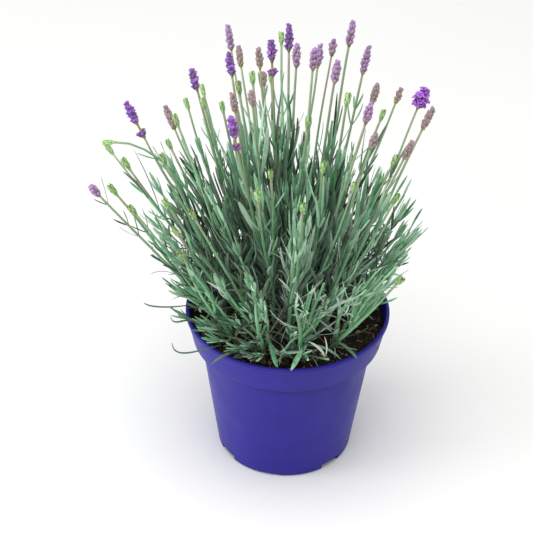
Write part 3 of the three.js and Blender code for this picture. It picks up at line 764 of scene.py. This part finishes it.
def add_blade(draft, root, leave, end, face, length, width, thick, look, slot=LEAF, twist=0.0, droop=0.0):
    """A blade that leaves its root one way and comes round to another, with its top turned to the face.

    look is its tone and how silvery it is."""
    half = LEAF_WIDTHS[:, None] * width / 2
    across, up = leaf_section(half, np.minimum(half * 0.9, thick))
    cosines = np.cos(twist * LEAF_STEPS)[:, None]
    sines = np.sin(twist * LEAF_STEPS)[:, None]
    section = np.stack([across * cosines - up * sines, across * sines + up * cosines], axis=2)
    marks = (look[0], LEAF_EDGE, LEAF_STEPS[:, None], look[1])
    add_swept(draft, blade_line(root, leave, end, length, droop), section, marks, slot, face)


def clear_of_pot(centres):
    """Whether a blade stays above the soil and goes over the rim, not through the collar."""
    fine = np.linspace(0.15, 1, 24)
    x, y, z = (np.interp(fine, LEAF_STEPS, centres[:, axis]) for axis in range(3))
    radii = np.hypot(x, y)
    lowest = np.where(radii < RIM_RADIUS - 3, CROWN.z + 1.5, POT_HEIGHT + 1)
    lowest = np.where(radii > RIM_RADIUS + 1.5, POT_HEIGHT - 14, lowest)
    return bool(np.all(z > lowest))


def add_leaf(draft, place, forward, out, length, spread, look, ease, seed, low=0.0, slim=1.0):
    """A leaf that leaves the stem sideways and turns up beside it, shortened until it has room."""
    up = vec(UP)
    curl = low * between(-0.4, 1.6, *seed, 44) ** 3 / 2.4
    stray = np.cross(forward, out) * between(-1, 1, *seed, 46) * (0.2 + 0.95 * low)
    hook = 1.5 * max(0, low - 0.3) if draw(*seed, 48) < 0.4 else 0
    hooked = out * between(0, 1, *seed, 49) - up * between(0.2, 1.2, *seed, 50) - forward * 0.6
    droop = low * between(-0.1, 0.6, *seed, 45) if low > 0.6 else 0
    close = between(0.3, 0.85, *seed, 41)
    ease *= between(0.84, 1.1, *seed, 47)
    for _ in range(6):
        angle = math.radians(spread)
        leave = forward * math.cos(angle) + out * math.sin(angle)
        end = leave * (1 - close) + forward * close + up * 0.12 + stray - out * curl + hooked * hook
        centres = blade_line(place, leave, end, length, droop)
        tip = Vector(centres[-1])
        if (tip - CROWN).length < bush_reach(tip) * ease and clear_of_pot(centres):
            break
        length *= 0.86
        spread *= 0.84
    else:
        return
    if length < SHORTEST_LEAF:
        return
    face = forward * math.sin(angle) - out * math.cos(angle)
    broad = draw(*seed, 42) ** 1.5
    width = (1.5 - 0.4 * low + (2.2 - 1.0 * low) * broad) * min(1, 0.5 + length / 60) * slim
    twist = between(-1.1, 1.1, *seed, 43)
    add_blade(draft, place, leave, end, face, length, width, LEAF_THICKNESS, look, twist=twist, droop=droop)


def add_stem(draft, clump, shoot, seed):
    """A square stem with softened corners: bark at its foot, green above, rosy under a head."""
    extra, rosy_length = STEM_ENDS[shoot.ends]
    count = max(6, int(shoot.path.length / 9))
    distances = np.linspace(0, shoot.path.length + extra, count)
    centres = np.array([on_stem(shoot, distance)[0] for distance in distances])
    shares = np.minimum(1, distances / shoot.path.length)
    radii = STEM["foot"] + shares * (STEM["top"] - STEM["foot"])
    if shoot is clump.main:
        woody = STUB["radius"] + distances / STUB["crown"] * (STUB["top"] - STUB["radius"])
        green = STUB["top"] + shares * (STEM["top"] - STUB["top"])
        radii = np.where(distances < STUB["crown"], woody, green)
    bark = np.clip(1.0 - (centres[:, 2] - CROWN.z) / 16, 0, 1)
    rosy = np.zeros(count)
    if rosy_length:
        rosy = np.clip(1.25 - (shoot.path.length - distances) / rosy_length, 0, 1)
    marks = (draw(seed, 51), bark[:, None], rosy[:, None] * between(0.6, 1, seed, 52), np.arange(8) % 2)
    add_swept(draft, centres, tube(radii, 8, 0.84, 0), marks, STALK)


def spot_in_bush(place):
    """How low in the bush a place is, how deep in it, and how near its fringe, flank, front and right."""
    height = place[2] - CROWN.z
    radius = math.hypot(place[0], place[1])
    away = np.linalg.norm(place - vec(CROWN))
    outwards = max(away / bush_reach(Vector(place)), radius / 58)
    frontal = max(0, (0.25 * place[0] - place[1]) / (radius + 6)) ** 1.5
    low = clamped(1.2 - height / 75)
    fringe = clamped((outwards - 0.72) / 0.28)
    flank = (radius / (away + 1)) ** 2
    front = frontal * clamped(1.8 - height / 60)
    return low, max(0, 1 - outwards), fringe, flank, front, max(0, place[0]) / (radius + 1)


def add_pairs(draft, clump, shoot, seed):
    """Opposite pairs of leaves up the stem, each pair a quarter turn from the last, with tufts between."""
    leafy = shoot.ends == "leaf"
    buried = clump.buried if shoot is clump.main else 0
    bare = 0 if leafy else between(17, 44, seed, 60)
    last = min(shoot.path.length - bare, LEAFY_REACH + buried)
    ease = between(0.92, 1.18, seed, 59) if leafy else 0.94 + 0.42 * draw(seed, 59) ** 2
    twist = 2 * math.pi * draw(seed, 61)
    distance = buried + between(4, 9, seed, 62)
    pair = 0
    while distance < last:
        place, forward = on_stem(shoot, distance)
        low, depth, fringe, flank, front, right = spot_in_bush(place)
        wobble = between(-0.3, 0.3, seed, pair, 63) * (1 + 2 * low)
        out = sideways(forward, twist + pair * math.pi / 2 + wobble)
        silver = low * between(-0.2, 1.2, seed, 64) + 0.8 * front
        silver += (1 - low) * between(-0.35, 0.5, seed, pair, 62)
        # The tone is drawn at random, darker low in the bush and lighter at the front low down, with painted
        # shade: darker the deeper a leaf sits in the bush, and darker on the outer leaves of its flanks.
        tone = between(0.22, 1.22, seed, 65) - 0.92 * low + 0.94 * front - 1.05 * depth
        tone -= 0.54 * flank * fringe * (1 - front)
        thinned = 0.25 * low + (0.45 + 0.25 * right) * fringe
        slim = 1 - 0.28 * flank * fringe
        for half, way in enumerate((out, -out)):
            if draw(seed + half, pair, 57) < thinned:
                continue
            length = (LEAF_LENGTH - 9 * low) * between(0.5, 1.2, seed, pair, half)
            spread = 14 + 52 * low * draw(seed, half, pair + 58) + between(-7, 9, seed + half, pair, 66)
            look = (tone + between(-0.25, 0.25, seed - half, pair, 67), clamped(silver))
            mark = (seed * 2 + half, pair)
            add_leaf(draft, place + way * 0.5, forward, way, length, spread, look, ease, mark, low, slim)
        if draw(seed, pair, 68) < 0.15 + 0.3 * low:
            add_tuft(draft, place, forward, out, low, tone, silver, ease, seed * 31 + pair)
        if shoot.basal:
            distance += between(6, 11, seed, pair, 69)
        else:
            distance += between(8, 17, seed, pair, 69) + 6 * (1 - low)
        pair += 1


def add_stalk_leaves(draft, shoot, seed):
    """A pair or two of small narrow leaves up a bare stalk; a young head has them close under it."""
    below = 8 if shoot.young else between(20, 36, seed, 111)
    for pair in range(3 if shoot.young else 2):
        if shoot.young or draw(seed, pair, 112) < 0.4:
            place, forward = on_stem(shoot, shoot.path.length - below)
            out = sideways(forward, 2 * math.pi * draw(seed, pair, 113))
            for half, way in enumerate((out, -out)):
                length = between(9, 19, seed, pair, 114 + half)
                leave = forward * 0.86 + way * 0.5
                end = forward * 0.95 + way * between(0, 0.5, seed, pair, 116 + half)
                look = (between(0.25, 0.8, seed, pair, 118 + half), 0.1)
                add_blade(draft, place + way * 0.4, leave, end, -way, length, 1.7, 0.4, look)
        below += between(9, 24, seed, pair, 120)


def add_tuft(draft, place, forward, out, low, tone, silver, ease, seed):
    """Small young leaves bunched where a leaf meets the stem."""
    side = np.cross(forward, out)
    for i in range(2 if low > 0.5 else 3):
        turn = between(-1.2, 1.2, seed, i, 71) + (math.pi if draw(seed, 72) < 0.5 else 0)
        way = out * math.cos(turn) + side * math.sin(turn)
        length = between(10, 22, seed, i, 73)
        spread = between(12, 30, seed, i, 74) + 24 * low
        look = (min(1, tone + between(0, 0.35, seed, i, 75)), clamped(silver + 0.1))
        add_leaf(draft, place + way * 0.4, forward, way, length, spread, look, ease, (seed, i), low)


def add_crest(draft, shoot, seed):
    """The upright young leaves that close a leafy stem's tip."""
    place, forward = on_stem(shoot, shoot.path.length + 2)
    for i in range(6):
        out = sideways(forward, i * 2.4 + draw(seed, 81))
        length = between(13, 21, seed, i, 82)
        look = (between(0.35, 1, seed, i, 83), 0.15)
        add_leaf(draft, place, forward, out, length, between(5, 20, seed, i, 84), look, 1.06, (seed, i))


def add_bud(draft, shoot, seed):
    """A green bud: overlapping pointed bracts in rings round a slim core."""
    foot, way = on_stem(shoot, shoot.path.length)
    size = between(0.8, 1.0, seed, 91)
    heights = np.array([0, 0.08, 0.3, 0.55, 0.8, 0.96, 1.0])
    radii = np.array([0.5, 1.0, 1.5, 1.55, 1.1, 0.5, 0.15]) * size
    tone = draw(seed, 92)
    centres = foot + way * (heights * BUD_LENGTH * size)[:, None]
    add_swept(draft, centres, tube(radii, 8), (tone * 0.6, 0, 0, 0), BUD)
    for ring in range(4):
        share = 0.02 + ring * 0.19
        for i in range(4):
            out = sideways(way, (i + 0.5 * ring + 0.3 * draw(seed, ring, 93)) * math.pi / 2)
            reach = np.interp(share, heights, radii) * 0.8
            root = foot + way * (share * BUD_LENGTH * size) + out * reach
            leave = way * 0.93 + out * 0.34
            end = way * 0.97 - out * 0.3
            length = between(3.6, 4.6, seed, ring * 7 + i, 94) * size
            look = (min(1, tone * 0.5 + between(0, 0.5, seed, ring * 7 + i, 95)), 0)
            add_blade(draft, root, leave, end, -out, length, 2.4 * size, 0.4, look, BUD)


CURLED_LEAVES = [  # from root to tip, with the width, the tone and how silvery it is
    ([(-63, -8, 110), (-72, -8, 108.6), (-81, -8, 108), (-87, -8, 109), (-91, -8, 111)],
     1.8, 0.35, 0.9),
    ([(-48, -20, 103), (-57, -20, 108), (-65, -21, 107), (-70, -22, 107.5), (-73, -22, 111)],
     1.8, 0.4, 0.7),
    ([(-40, -46, 108), (-48, -50, 109), (-58, -53, 107.4), (-66, -53, 107.6), (-70, -50, 112)],
     1.7, 0.3, 0.6),
    ([(-13, -45, 119), (-8, -51, 111), (-3, -52, 107.4), (2, -50, 107.6), (4, -47, 111)], 3.0, 0.7, 1.0),
    ([(-11, -48, 116), (-9, -54, 112.5), (-7, -60, 109.5), (-5, -64.5, 107)], 3.0, 0.55, 0.2),
    ([(13, -50, 115), (9, -57, 113.5), (6, -63, 111), (3, -68, 107.5)], 3.6, 0.75, 0.3),
    ([(-11, -47, 115), (-20, -48, 114), (-29, -50, 111), (-38, -53, 109)], 2.4, 0.5, 0.1),
    ([(30, -38, 108), (35, -43, 109), (40, -47, 107), (43, -51, 105.5)], 2.6, 0.45, 0.3),
]


def add_curl(draft, places, width, tone, silver):
    """A long leaf through given places, for the few that curl out over the rim or across the soil."""
    places = vec(places)
    steps = np.linspace(0, 1, 22)
    bends = np.polyfit(np.linspace(0, 1, len(places)), places, 3)
    centres = np.stack([np.polyval(bends[:, axis], steps) for axis in range(3)], axis=1)
    half = np.interp(steps, LEAF_STEPS, LEAF_WIDTHS)[:, None] * width / 2
    section = np.stack(leaf_section(half, np.full_like(half, LEAF_THICKNESS)), axis=2)
    add_swept(draft, centres, section, (tone, LEAF_EDGE, steps[:, None], silver), LEAF, vec(UP))


def leaf_material():
    """Grey-green felt: paler on the rolled edges and below, silvery on the old low leaves, with painted
    shade at each leaf's root.
    """
    paint = Paint("felted_lavender_leaf", 0.6, 0.35)
    tone, edge, along, silver = marks_of(paint)
    shade = paint.blotched(tone, 0.5, 260, 4, 0.6)
    greens = [(0.0, 6, 25, 14), (0.3, 24, 84, 54), (0.62, 86, 168, 118), (1.0, 180, 225, 188)]
    greys = [(0.0, 26, 38, 32), (0.3, 84, 102, 92), (0.62, 146, 164, 152), (1.0, 206, 220, 208)]
    aged = paint.tinted(paint.ramp(shade, *greens), paint.ramp(shade, *greys), silver, 0.85)
    felt = paint.tinted(aged, srgb(172, 200, 176), paint.worked("POWER", edge, 2.0), 0.3)
    # Painted shade: each leaf darkens towards its root by the stem.
    root = paint.worked("MULTIPLY_ADD", along, 1.6, 0.5, clamp=True)
    root_shaded = paint.mixed(root, srgb(30, 58, 40), felt)
    tipped = paint.tinted(root_shaded, srgb(150, 172, 118), paint.worked("POWER", along, 4.0), 0.2)
    paint.give("Sheen Weight", 0.2)
    paint.give("Sheen Roughness", 0.5)
    return paint.finished(tipped, (3200, 3), 0.08, 0.6)


def stem_material():
    """Green stems with pale corners, bark at the foot, and a rosy brown flush under the heads."""
    paint = Paint("lavender_stem", 0.62, 0.35)
    tone, wood, rosy, corner = marks_of(paint)
    green = paint.ramp(paint.blotched(tone, 0.6, 420, 4), (0.0, 64, 136, 88), (1.0, 142, 200, 152))
    edged = paint.tinted(green, srgb(180, 204, 170), corner, 0.25)
    flush = paint.ramp(paint.grain(60, 2), (0.35, 146, 152, 112), (0.65, 166, 144, 136))
    flushed = paint.tinted(edged, flush, rosy, 0.9)
    bark = paint.ramp(paint.grain(700, 5, 0.7), (0.35, 62, 48, 36), (0.65, 120, 100, 76))
    return paint.finished(paint.mixed(wood, flushed, bark), (1500, 4), 0.12)


def bud_material():
    """Fresh green bracts, yellower at their tips."""
    paint = Paint("green_bud_bracts", 0.55, 0.4)
    tone, edge, along, _ = marks_of(paint)
    greens = [(0.0, 128, 132, 88), (0.3, 120, 158, 88), (0.6, 138, 190, 112), (1.0, 176, 210, 150)]
    green = paint.ramp(paint.blotched(tone, 0.4, 500, 3), *greens)
    tipped = paint.tinted(green, srgb(180, 196, 130), along, 0.35)
    return paint.finished(paint.tinted(tipped, srgb(196, 214, 176), edge, 0.15), (2500, 2), 0.06)


foliage = [leaf_material(), stem_material(), bud_material()]
for clump in clumps:
    draft = Draft()
    for places, width, tone, silver in CURLED_LEAVES:
        if clump_at(Vector(places[0])) is clump:
            add_curl(draft, places, width, tone, silver)
    for i, shoot in enumerate(clump.stems):
        seed = clump.number * 20 + i
        add_stem(draft, clump, shoot, seed)
        add_pairs(draft, clump, shoot, seed)
        if shoot.ends == "leaf":
            add_crest(draft, shoot, seed)
        else:
            add_stalk_leaves(draft, shoot, seed)
        if shoot.ends == "bud":
            add_bud(draft, shoot, seed)
    piece = draft.piece(f"lavender_clump_{clump.number:02d}", foliage)
    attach(piece, "root")
    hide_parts(f"leafy_clump_{clump.number:02d}")

# The flower spikes: rings of ribbed tubular calyces up a short axis, each ring over a pair of brown
# bracts. Small lobed florets open out of some of them. Each spike sits on the tip of its stalk.
CALYX, FLORET, BRACT = 0, 1, 2
SPIKE_LOOKS = {  # calyces to a ring, their length and lean, the share with a floret, its size, ring to ring
    "violet": SimpleNamespace(around=6, calyx=3.8, lean=30, open=0.6, floret=1.3, pitch=3.0),
    "mauve": SimpleNamespace(around=6, calyx=3.9, lean=29, open=0.12, floret=1.15, pitch=3.0),
    "faded": SimpleNamespace(around=6, calyx=3.6, lean=25, open=0.03, floret=1.0, pitch=2.8),
    "open": SimpleNamespace(around=8, calyx=4.2, lean=52, open=1.0, floret=2.1, pitch=3.4),
}
CALYX_COLOURS = {  # at the foot, in the middle and at the mouth
    "violet": [(126, 116, 84), (108, 60, 142), (148, 90, 196)],
    "mauve": [(152, 146, 90), (156, 112, 178), (190, 146, 218)],
    "faded": [(148, 150, 82), (156, 132, 126), (172, 138, 176)],
    "open": [(110, 104, 80), (96, 56, 116), (124, 70, 156)],
}
PETAL_COLOURS = {  # in the throat, in the middle and at the lobes' ends
    "violet": [(88, 40, 136), (142, 82, 196), (192, 140, 234)],
    "mauve": [(130, 86, 160), (176, 128, 206), (206, 168, 226)],
    "open": [(100, 42, 138), (158, 84, 200), (204, 146, 236)],
}


def add_calyx(draft, root, way, length, girth, tone):
    """A ribbed tube, a little swollen, with its mouth drawn in."""
    shares = np.array([[0], [0.15], [0.5], [0.85], [1.0]])
    radii = np.array([0.5, 0.85, 1.0, 0.92, 0.6]) * girth
    marks = (tone, np.arange(8) % 2, shares, 0)
    add_swept(draft, root + way * (shares * length), tube(radii, 8, 0.82), marks, CALYX)


def add_floret(draft, mouth, way, size, tone, seed):
    """The five lobes of a small floret, spread round the mouth of its calyx."""
    for i in range(5):
        out = sideways(way, i * 2 * math.pi / 5 + between(-0.25, 0.25, seed, i, 101))
        leave = way * 0.85 + out * 0.5
        end = out * 1.1 + way * between(-0.2, 0.35, seed, i, 102)
        look = (clamped(tone + between(-0.2, 0.25, seed, i, 103)), 0)
        face = way * 0.4 - out
        add_blade(draft, mouth - way * 0.4, leave, end, face, size * 1.2, size * 1.15, 0.3, look, FLORET)


def add_whorl(draft, place, way, look, lean, swell, turn, seed):
    """One ring of calyces, with florets in some of them and two bracts below."""
    for i in range(look.around):
        out = sideways(way, turn + (i + between(-0.2, 0.2, seed, i, 111)) * 2 * math.pi / look.around)
        angle = math.radians(lean * between(0.75, 1.25, seed, i, 112))
        leave = way * math.cos(angle) + out * math.sin(angle)
        leave /= np.linalg.norm(leave)
        root = place + out * 0.6 * swell + way * between(-0.6, 0.6, seed, i, 113)
        length = look.calyx * (0.4 + 0.6 * swell) * between(0.85, 1.1, seed, i, 114)
        tone = draw(seed, i, 115)
        add_calyx(draft, root, leave, length, 1.12 * (0.5 + 0.5 * swell), tone)
        if draw(seed, i, 116) < look.open:
            size = look.floret * between(0.8, 1.2, seed, i, 117) * (0.6 + 0.4 * swell)
            add_floret(draft, root + leave * length, leave, size, tone, seed * 13 + i)
    for half in (0, 1):
        out = sideways(way, turn + half * math.pi)
        root = place - way * 1.2 + out * 0.4
        leave = way * 0.6 + out * 0.8
        add_blade(draft, root, leave, way, -out, 3.0 * swell, 2.6 * swell, 0.3, (draw(seed, 118), 0), BRACT)


def add_spike(draft, spike, seed):
    look = SPIKE_LOOKS[spike.kind]
    way = vec(spike.way)
    foot = vec(spike.foot)
    start = foot + way * spike.below
    axis = spike.length - look.calyx * 0.8
    rings = max(2, round(axis / look.pitch) + 1)
    core = start + way * np.array([[-1.0], [0], [0.5 * axis], [axis]])
    add_swept(draft, core, tube([0.72, 0.9, 1.0, 0.4], 8), (0.4, 0, 0.1, 0), CALYX)
    for ring in range(rings):
        share = ring / (rings - 1)
        swell = math.sin(math.pi * (0.27 + 0.5 * share)) ** 0.8
        turn = ring * math.pi / look.around + draw(seed, ring, 121) * 0.3
        place = start + way * (0.5 + share * (axis - 0.5))
        lean = look.lean * (1 - 0.6 * share**2)
        add_whorl(draft, place, way, look, lean, swell, turn, seed * 17 + ring)
    if spike.below:
        stalk = foot + way * np.array([[-0.5], [spike.below]])
        add_swept(draft, stalk, tube([0.72, 0.72], 8, 0.84, 0), (0.5, 0, 0.2, 0), BRACT)
        add_whorl(draft, foot + way * 1.2, way, look, look.lean, 0.95, 0.3, seed * 17 + 16)


def calyx_material(name, base, middle, mouth):
    """Downy ribbed calyces: greenish at the foot, and coloured towards the mouth."""
    paint = Paint(name, 0.68, 0.3)
    tone, rib, along, _ = marks_of(paint)
    place = paint.blotched(along, 0.5, 900, 3)
    colour = paint.ramp(place, (0.08, *base), (0.45, *middle), (1.0, *mouth))
    toned = paint.mixed(1.0, colour, paint.graded(tone, 0, 1, 0.72, 1), "MULTIPLY")
    ribbed = paint.tinted(toned, srgb(*base), rib, 0.3)
    flecks = paint.worked("MULTIPLY_ADD", paint.grain(480, 2), 9.0, -5.2, clamp=True)
    paint.give("Sheen Weight", 0.25)
    return paint.finished(paint.tinted(ribbed, srgb(*base), flecks, 0.85), (2600, 3), 0.1)


def floret_material(name, deep, middle, pale):
    """Thin petals, deeper in the throat and paler at the lobes' ends."""
    paint = Paint(name, 0.55, 0.3)
    tone, _, along, _ = marks_of(paint)
    reach = paint.worked("MULTIPLY_ADD", along, 0.5, paint.times(tone, 0.5))
    place = paint.blotched(reach, 0.4, 1200, 3)
    paint.give("Sheen Weight", 0.15)
    return paint.finished(paint.ramp(place, (0.0, *deep), (0.5, *middle), (1.0, *pale)), (2600, 2), 0.05)


def bract_material():
    """Papery olive-brown bracts."""
    paint = Paint("papery_bracts", 0.7, 0.25)
    shade = paint.blotched(marks_of(paint)[0], 0.5, 800, 4)
    olives = [(0.0, 116, 112, 58), (0.5, 148, 136, 78), (1.0, 178, 162, 108)]
    return paint.finished(paint.ramp(shade, *olives), (1800, 3), 0.08)


calyces = {kind: calyx_material(f"{kind}_calyx", *colours) for kind, colours in CALYX_COLOURS.items()}
petals = {kind: floret_material(f"{kind}_petals", *colours) for kind, colours in PETAL_COLOURS.items()}
petals["faded"] = petals["mauve"]
bracts = bract_material()
spikes = [spike for clump in clumps for spike in clump.spikes]
for number, spike in enumerate(spikes, 1):
    draft = Draft()
    add_spike(draft, spike, 700 + number)
    piece = draft.piece(f"lavender_spike_{number:02d}", [calyces[spike.kind], petals[spike.kind], bracts])
    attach(piece, "root")
    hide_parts(f"flower_spike_{number:02d}")

# The studio: a plain white floor under a white sky, with one large soft light above and one low on the
# left. The camera is at the height and distance that the photograph was taken from.
FLOOR_SIZE = 8000
SKY_STRENGTH = 0.78
LIGHT_AIM = Vector((0, 0, 140))
CAMERA_TILT = 36.68
CAMERA_DISTANCE = 1117
CAMERA_TARGET = Vector((0, 0, 100))
CAMERA_AIM = Vector((-14, 0, 136))
CAMERA_ROLL = 1.15
LENS = 118
SENSOR = 36


def floor_material():
    paint = Paint("white_studio_floor", 0.9, 0.1)
    whites = paint.ramp(paint.grain(1.2, 2), (0.3, 238, 238, 236), (0.7, 243, 243, 241))
    paint.give("Base Color", whites)
    return paint.material


half = FLOOR_SIZE / 2
floor_points = [(-half, -half, 0), (half, -half, 0), (half, half, 0), (-half, half, 0)]
floor = add_piece("studio_floor", floor_points, [(0, 1, 2, 3)], [floor_material()])

world = bpy.data.worlds.new("white_studio")
world.use_nodes = True
sky = world.node_tree.nodes["Background"]
sky.inputs["Color"].default_value = (1, 1, 1, 1)
sky.inputs["Strength"].default_value = SKY_STRENGTH
bpy.context.scene.world = world


def add_aimed(name, data, place, aim, roll=0.0):
    """A light or camera at a place, looking at the aim."""
    made = bpy.data.objects.new(name, data)
    made.location = place * MM
    made.rotation_mode = "QUATERNION"
    look_way = aim * MM - made.location
    made.rotation_quaternion = look_way.to_track_quat("-Z", "Y") @ Quaternion((0, 0, 1), math.radians(roll))
    bpy.context.scene.collection.objects.link(made)
    return made


def add_soft_light(name, place, size, power):
    lamp = bpy.data.lights.new(name, "AREA")
    lamp.shape = "DISK"
    lamp.size = size * MM
    lamp.energy = power
    add_aimed(name, lamp, Vector(place), LIGHT_AIM)


add_soft_light("top_light", (-150, -350, 1500), 1300, 12)
add_soft_light("left_light", (-1400, -350, 340), 700, 9.8)

lens = bpy.data.cameras.new("camera")
lens.lens = LENS
lens.sensor_width = SENSOR
lens.clip_end = 20
tilt = math.radians(CAMERA_TILT)
eye = CAMERA_TARGET + Vector((0, -math.cos(tilt), math.sin(tilt))) * CAMERA_DISTANCE
bpy.context.scene.camera = add_aimed("camera", lens, eye, CAMERA_AIM, CAMERA_ROLL)
bpy.context.scene.view_settings.view_transform = "Standard"
